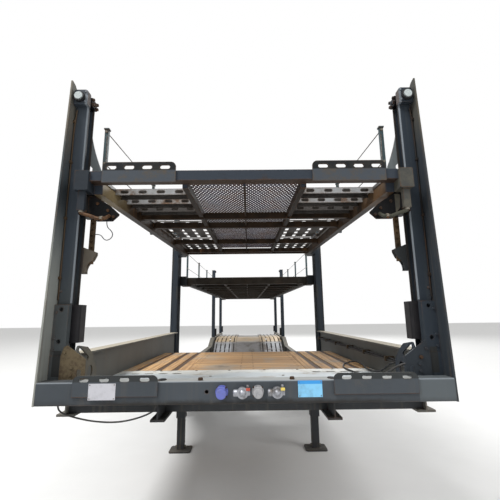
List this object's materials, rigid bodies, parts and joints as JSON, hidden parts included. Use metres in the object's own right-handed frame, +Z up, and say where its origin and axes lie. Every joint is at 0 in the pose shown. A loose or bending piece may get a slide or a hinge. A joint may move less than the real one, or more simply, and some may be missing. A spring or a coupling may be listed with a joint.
{
  "type": "car transporter semi-trailer",
  "caption": "Two-deck car transporter semi-trailer with lifting upper decks in spindle posts, a low well, twin wheels and landing legs, in worn dark grey paint.",
  "frame": {"origin": "on the ground, at the middle of the length and the width", "axes": "+Y rearwards, +X to the side that is right in a view of the front end, +Z up"},
  "size_m": [2.55, 13.77, 3.33],
  "materials": {
    "structure": "satin, chipped and rusty",
    "deck_steel": "matte, worn and rusty",
    "spindle": "greased",
    "machined": "worn",
    "boards": "weathered",
    "tyre": "matte",
    "rubber": "matte",
    "hose": "satin",
    "rim_paint": "dull",
    "guard_plastic": "matte",
    "lamp_red": "gloss",
    "lamp_clear": "gloss",
    "socket_plastic": "satin",
    "coupling_alloy": "cast"
  },
  "bodies": {
    "root": {"front_beam": "structure", "beam_hook_plates": "structure", "front_posts": "structure", "mid_posts": "structure", "rear_posts": "structure", "lift_spindles": "spindle", "gooseneck_rails": "structure", "well_rails": "structure", "edge_rails": "structure", "inner_rails": "structure", "platform_frame": "structure", "platform_sheet": "deck_steel", "platform_boards": "boards", "coupling_plate": "structure", "kingpin": "machined", "landing_legs": "structure", "well_tracks": "deck_steel", "well_crossmembers": "structure", "hump_tracks": "deck_steel", "hump_panel": "deck_steel", "rear_beam": "structure", "rear_lamps": "lamp_red", "axles": "structure", "suspension_arms": "structure", "air_springs": "rubber", "mudguards": "guard_plastic", "marker_lamps": "lamp_clear", "electric_sockets": "socket_plastic", "air_couplings": "coupling_alloy", "beam_cable": "hose", "deck_hose": "hose"},
    "front_deck": {"front_deck_frame": "structure", "front_deck_tracks": "deck_steel", "front_deck_mesh": "deck_steel", "front_carriages": "structure", "deck_hook_plates": "structure", "front_stanchions": "structure", "carriage_loop": "hose"},
    "rear_deck": {"rear_deck_frame": "structure", "rear_deck_tracks": "deck_steel", "rear_deck_mesh": "deck_steel", "rear_carriages": "structure", "rear_stanchions": "structure"},
    "wheel_1_left": {"tyres_1_left": "tyre", "rim_1_left": "rim_paint"},
    "wheel_1_right": {"tyres_1_right": "tyre", "rim_1_right": "rim_paint"},
    "wheel_2_left": {"tyres_2_left": "tyre", "rim_2_left": "rim_paint"},
    "wheel_2_right": {"tyres_2_right": "tyre", "rim_2_right": "rim_paint"},
    "ramp_left": {"ramp_left": "structure"},
    "ramp_right": {"ramp_right": "structure"}
  },
  "joints": [
    {"name": "wheel_1_left_spin", "type": "hinge", "parent": "root", "child": "wheel_1_left", "pos_m": [-1.0005, 3.585, 0.395], "axis": [1, 0, 0], "continuous": true},
    {"name": "wheel_1_right_spin", "type": "hinge", "parent": "root", "child": "wheel_1_right", "pos_m": [1.0005, 3.585, 0.395], "axis": [1, 0, 0], "continuous": true},
    {"name": "wheel_2_left_spin", "type": "hinge", "parent": "root", "child": "wheel_2_left", "pos_m": [-1.0005, 4.785, 0.395], "axis": [1, 0, 0], "continuous": true},
    {"name": "wheel_2_right_spin", "type": "hinge", "parent": "root", "child": "wheel_2_right", "pos_m": [1.0005, 4.785, 0.395], "axis": [1, 0, 0], "continuous": true},
    {"name": "front_deck_lift", "type": "slide", "parent": "root", "child": "front_deck", "axis": [0, 0, 1], "range_m": [-0.34, 0.33]},
    {"name": "rear_deck_lift", "type": "slide", "parent": "root", "child": "rear_deck", "axis": [0, 0, 1], "range_m": [-0.45, 0.62]},
    {"name": "ramp_left_slide", "type": "slide", "parent": "root", "child": "ramp_left", "axis": [0, 1, 0], "range_m": [0, 1.7]},
    {"name": "ramp_right_slide", "type": "slide", "parent": "root", "child": "ramp_right", "axis": [0, 1, 0], "range_m": [0, 1.7]}
  ]
}
